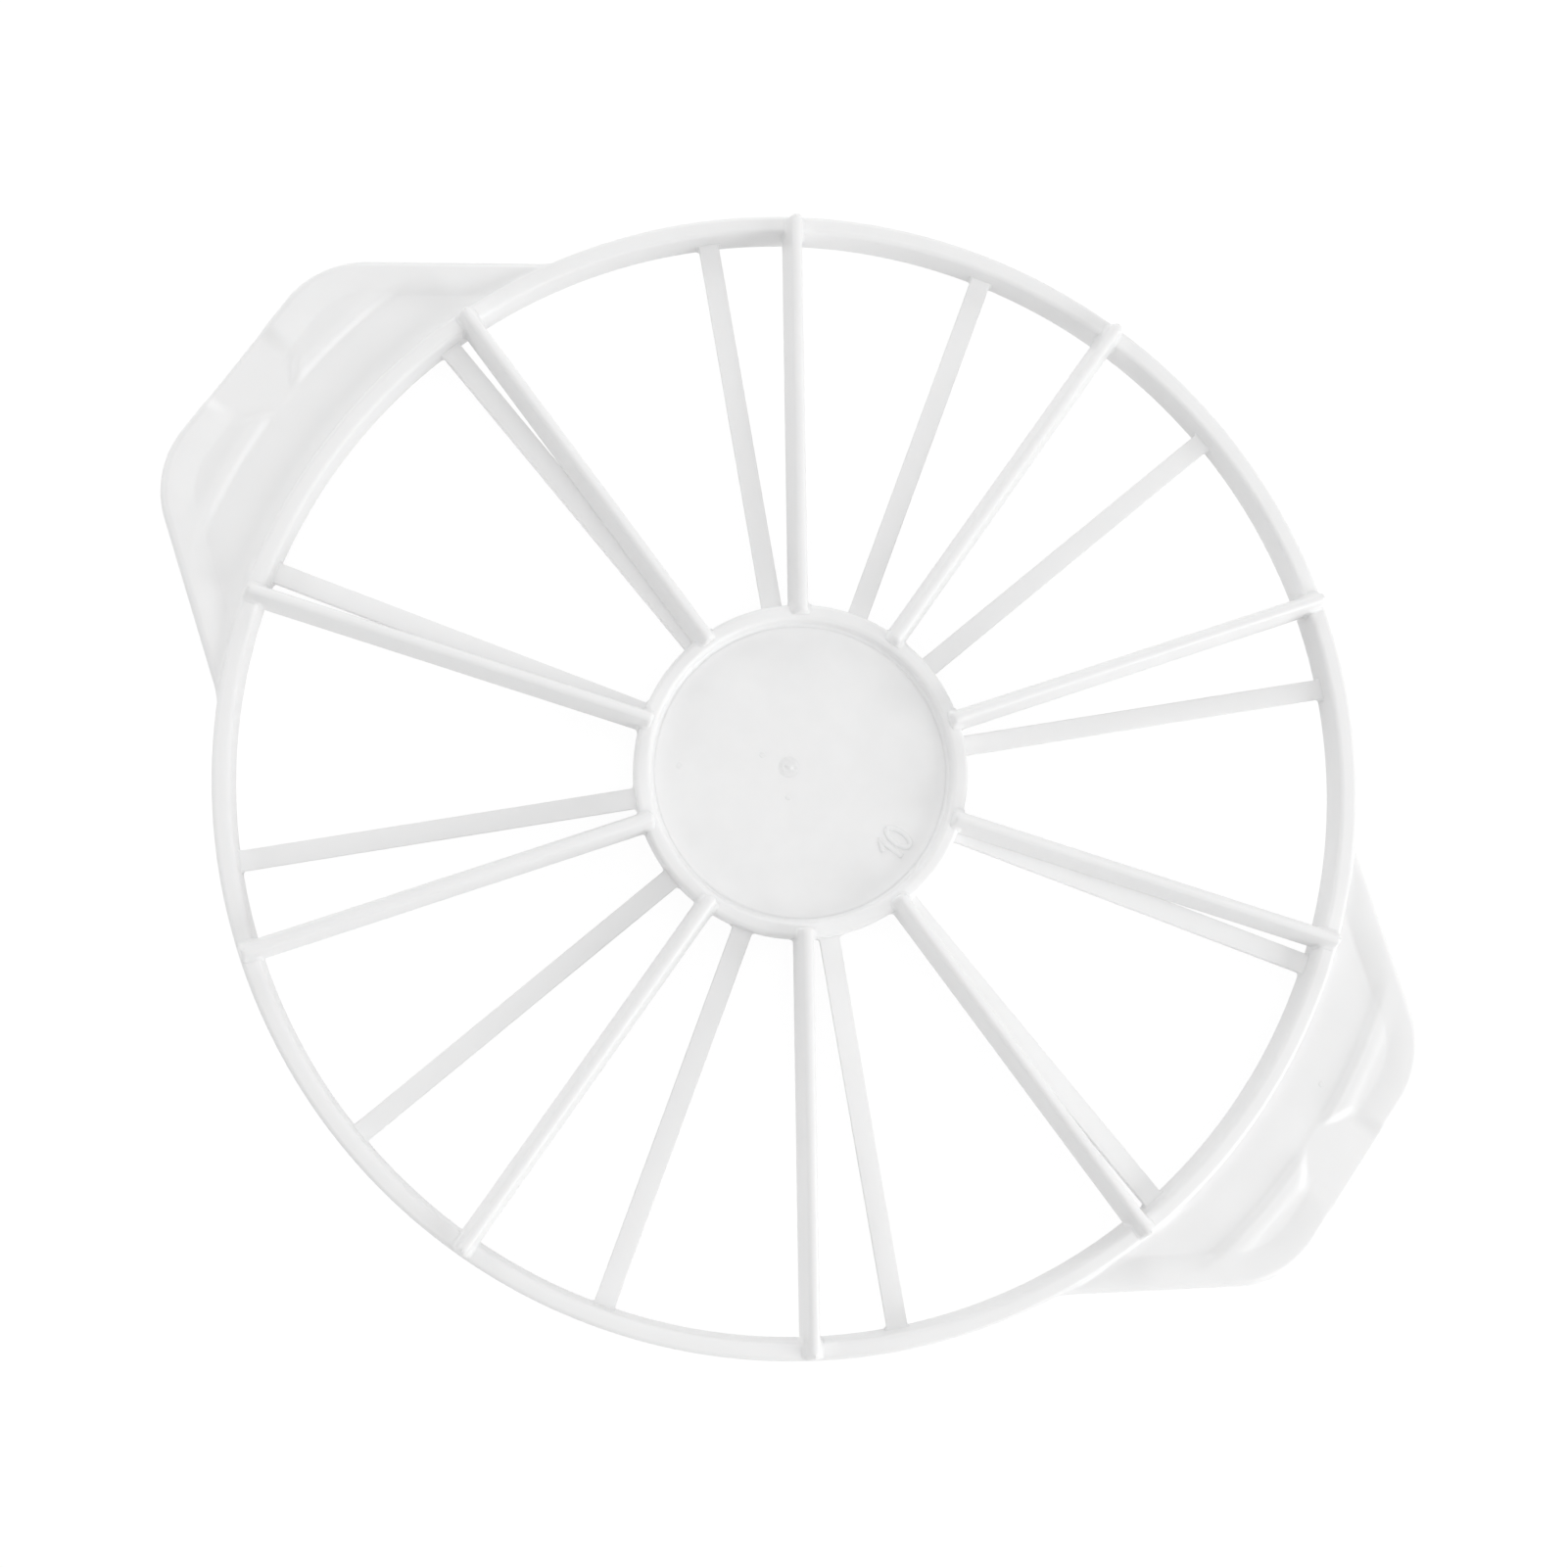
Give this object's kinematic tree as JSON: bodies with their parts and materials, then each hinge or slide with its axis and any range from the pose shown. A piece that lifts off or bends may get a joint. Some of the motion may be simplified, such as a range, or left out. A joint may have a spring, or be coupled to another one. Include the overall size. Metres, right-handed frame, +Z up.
{
  "type": "cake divider",
  "caption": "Round two-sided cake divider: a ring and a closed hub joined by straight marking ribs on both faces, with two shaped handles.",
  "frame": {"origin": "centre of the ring, on the surface the divider rests on, at the marking edges of the twelve lower ribs", "axes": "+Z up, square to the ring's plane, towards the ten-rib side; +X along the two handles, towards the right handle"},
  "size_m": [0.326, 0.27, 0.021],
  "materials": {
    "white_plastic": "satin, as moulded"
  },
  "bodies": {
    "root": {"ring": "white_plastic", "hub_ring": "white_plastic", "hub_disc": "white_plastic", "ten_side_rib_01": "white_plastic", "ten_side_rib_02": "white_plastic", "ten_side_rib_03": "white_plastic", "ten_side_rib_04": "white_plastic", "ten_side_rib_05": "white_plastic", "ten_side_rib_06": "white_plastic", "ten_side_rib_07": "white_plastic", "ten_side_rib_08": "white_plastic", "ten_side_rib_09": "white_plastic", "ten_side_rib_10": "white_plastic", "twelve_side_rib_01": "white_plastic", "twelve_side_rib_02": "white_plastic", "twelve_side_rib_03": "white_plastic", "twelve_side_rib_04": "white_plastic", "twelve_side_rib_05": "white_plastic", "twelve_side_rib_06": "white_plastic", "twelve_side_rib_07": "white_plastic", "twelve_side_rib_08": "white_plastic", "twelve_side_rib_09": "white_plastic", "twelve_side_rib_10": "white_plastic", "twelve_side_rib_11": "white_plastic", "twelve_side_rib_12": "white_plastic", "right_handle": "white_plastic", "left_handle": "white_plastic"}
  },
  "joints": []
}
